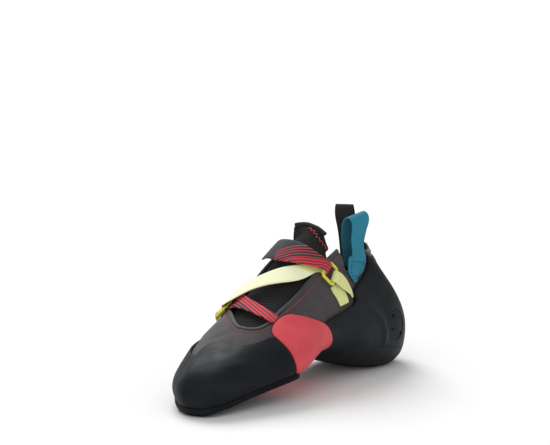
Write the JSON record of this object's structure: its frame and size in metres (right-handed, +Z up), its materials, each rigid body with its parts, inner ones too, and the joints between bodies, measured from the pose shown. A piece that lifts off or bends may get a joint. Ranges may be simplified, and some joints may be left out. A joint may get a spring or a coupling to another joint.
{
  "type": "climbing shoe",
  "caption": "Right climbing shoe with a hollow suede upper, rubber toe and heel, arch wrap, zigzag strap through wire rings and tall heel pull loops.",
  "frame": {"origin": "middle of the heel's flat spot on the floor", "axes": "+X towards the toe, +Y to the wearer's left, which is the medial side of this right shoe, +Z up"},
  "size_m": [0.2347, 0.0883, 0.1163],
  "materials": {
    "upper": "matte suede",
    "insole": "matte",
    "outsole": "satin",
    "toe_rand": "satin",
    "arch_wrap": "matte smooth",
    "heel_cup": "satin",
    "heel_disc": "satin",
    "tongue": "ribbed knit",
    "tongue_binding": "matte",
    "strap": "woven webbing",
    "lateral_ring": "gloss",
    "medial_ring": "gloss",
    "anchor_upper_leg": "woven webbing",
    "anchor_lower_leg": "woven webbing",
    "anchor_lateral": "woven webbing",
    "loop_medial": "woven webbing",
    "loop_lateral": "woven webbing"
  },
  "bodies": {
    "root": {"upper": "upper", "insole": "insole", "outsole": "outsole", "toe_rand": "toe_rand", "arch_wrap": "arch_wrap", "heel_cup": "heel_cup", "heel_disc": "heel_disc", "tongue": "tongue", "tongue_binding": "tongue_binding", "strap": "strap", "lateral_ring": "lateral_ring", "medial_ring": "medial_ring", "anchor_upper_leg": "anchor_upper_leg", "anchor_lower_leg": "anchor_lower_leg", "anchor_lateral": "anchor_lateral", "loop_medial": "loop_medial", "loop_lateral": "loop_lateral"}
  },
  "joints": []
}
